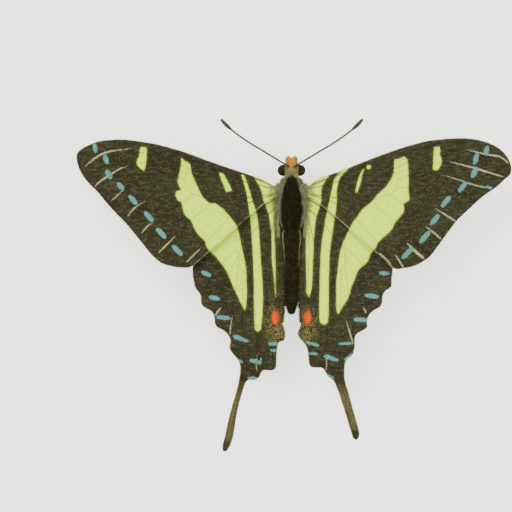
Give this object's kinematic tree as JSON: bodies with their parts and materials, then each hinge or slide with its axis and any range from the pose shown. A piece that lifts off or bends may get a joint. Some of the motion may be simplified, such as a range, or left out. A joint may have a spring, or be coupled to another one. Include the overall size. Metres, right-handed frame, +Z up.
{
  "type": "swallowtail butterfly",
  "caption": "Kite swallowtail butterfly standing with its wings spread, with club-ended antennae, a coiled tongue and long hindwing tails.",
  "frame": {"origin": "on the floor under the middle of the box round the whole insect", "axes": "+Y from the tails to the head, +X to the insect's right, +Z up"},
  "size_m": [0.0838, 0.0646, 0.0125],
  "materials": {
    "wing": "olive-brown scales with pale yellow-green bands, matt",
    "thorax": "grey-green down with a dark middle stripe",
    "abdomen": "dark back with pale sides, short hairs",
    "head": "orange and pale yellow hairs",
    "eye": "faceted, dark and glossy",
    "feeler": "dark horn, fine rings",
    "leg": "brown horn with fine hairs"
  },
  "bodies": {
    "root": {"forewing_left": "wing", "forewing_right": "wing", "hindwing_left": "wing", "hindwing_right": "wing", "prothorax": "thorax", "thorax": "thorax", "abdomen": "abdomen", "head": "head", "palp_left": "head", "palp_right": "head", "eye_left": "eye", "eye_right": "eye", "antenna_left": "feeler", "antenna_right": "feeler", "proboscis": "feeler", "leg_front_left": "leg", "leg_front_right": "leg", "leg_middle_left": "leg", "leg_middle_right": "leg", "leg_hind_left": "leg", "leg_hind_right": "leg"}
  },
  "joints": []
}
